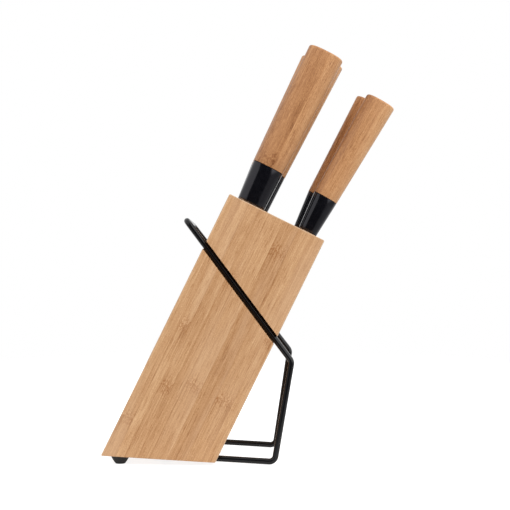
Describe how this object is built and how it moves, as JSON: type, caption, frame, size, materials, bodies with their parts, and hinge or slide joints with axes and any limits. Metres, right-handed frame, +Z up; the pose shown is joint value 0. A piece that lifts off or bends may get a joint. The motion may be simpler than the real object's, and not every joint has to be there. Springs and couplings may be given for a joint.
{
  "type": "knife block with knives",
  "caption": "Slanted bamboo knife block held up by a bent black rod stand, with wood-handled kitchen knives that pull out of its slots.",
  "frame": {"origin": "on the surface it stands on, under the middle of the whole object's box", "axes": "+Z up; +X from the block's toe towards the legs of the stand, the way the knives lean; Y across the block"},
  "size_m": [0.2384, 0.09, 0.3443],
  "materials": {
    "block_bamboo": "satin",
    "handle_bamboo": "satin",
    "ferrule_black": "gloss",
    "rod_black": "satin",
    "foot_rubber": "matte",
    "blade_steel": "satin",
    "screw_steel": "satin"
  },
  "bodies": {
    "block": {"right_cheek_board": "block_bamboo", "right_outer_board": "block_bamboo", "right_inner_board": "block_bamboo", "left_inner_board": "block_bamboo", "left_outer_board": "block_bamboo", "left_cheek_board": "block_bamboo", "chef_front_strip": "block_bamboo", "chef_back_strip": "block_bamboo", "chef_end_strip": "block_bamboo", "bread_front_strip": "block_bamboo", "bread_back_strip": "block_bamboo", "bread_end_strip": "block_bamboo", "carving_front_strip": "block_bamboo", "carving_back_strip": "block_bamboo", "carving_end_strip": "block_bamboo", "utility_front_strip": "block_bamboo", "utility_back_strip": "block_bamboo", "utility_end_strip": "block_bamboo", "paring_front_strip": "block_bamboo", "paring_back_strip": "block_bamboo", "paring_end_strip": "block_bamboo", "wire_stand": "rod_black", "right_foot": "foot_rubber", "left_foot": "foot_rubber", "right_foot_screw": "screw_steel", "left_foot_screw": "screw_steel"},
    "chef_knife": {"chef_blade": "blade_steel", "chef_ferrule": "ferrule_black", "chef_handle": "handle_bamboo"},
    "bread_knife": {"bread_blade": "blade_steel", "bread_ferrule": "ferrule_black", "bread_handle": "handle_bamboo"},
    "carving_knife": {"carving_blade": "blade_steel", "carving_ferrule": "ferrule_black", "carving_handle": "handle_bamboo"},
    "utility_knife": {"utility_blade": "blade_steel", "utility_ferrule": "ferrule_black", "utility_handle": "handle_bamboo"},
    "paring_knife": {"paring_blade": "blade_steel", "paring_ferrule": "ferrule_black", "paring_handle": "handle_bamboo"}
  },
  "joints": [
    {"name": "chef_draw", "type": "slide", "parent": "block", "child": "chef_knife", "axis": [0.4509, 0, 0.8926], "range_m": [0, 0.21]},
    {"name": "bread_draw", "type": "slide", "parent": "block", "child": "bread_knife", "axis": [0.4462, 0, 0.8949], "range_m": [0, 0.21]},
    {"name": "carving_draw", "type": "slide", "parent": "block", "child": "carving_knife", "axis": [0.4384, 0, 0.8988], "range_m": [0, 0.21]},
    {"name": "utility_draw", "type": "slide", "parent": "block", "child": "utility_knife", "axis": [0.4955, 0, 0.8686], "range_m": [0, 0.135]},
    {"name": "paring_draw", "type": "slide", "parent": "block", "child": "paring_knife", "axis": [0.4756, 0, 0.8796], "range_m": [0, 0.1]}
  ]
}
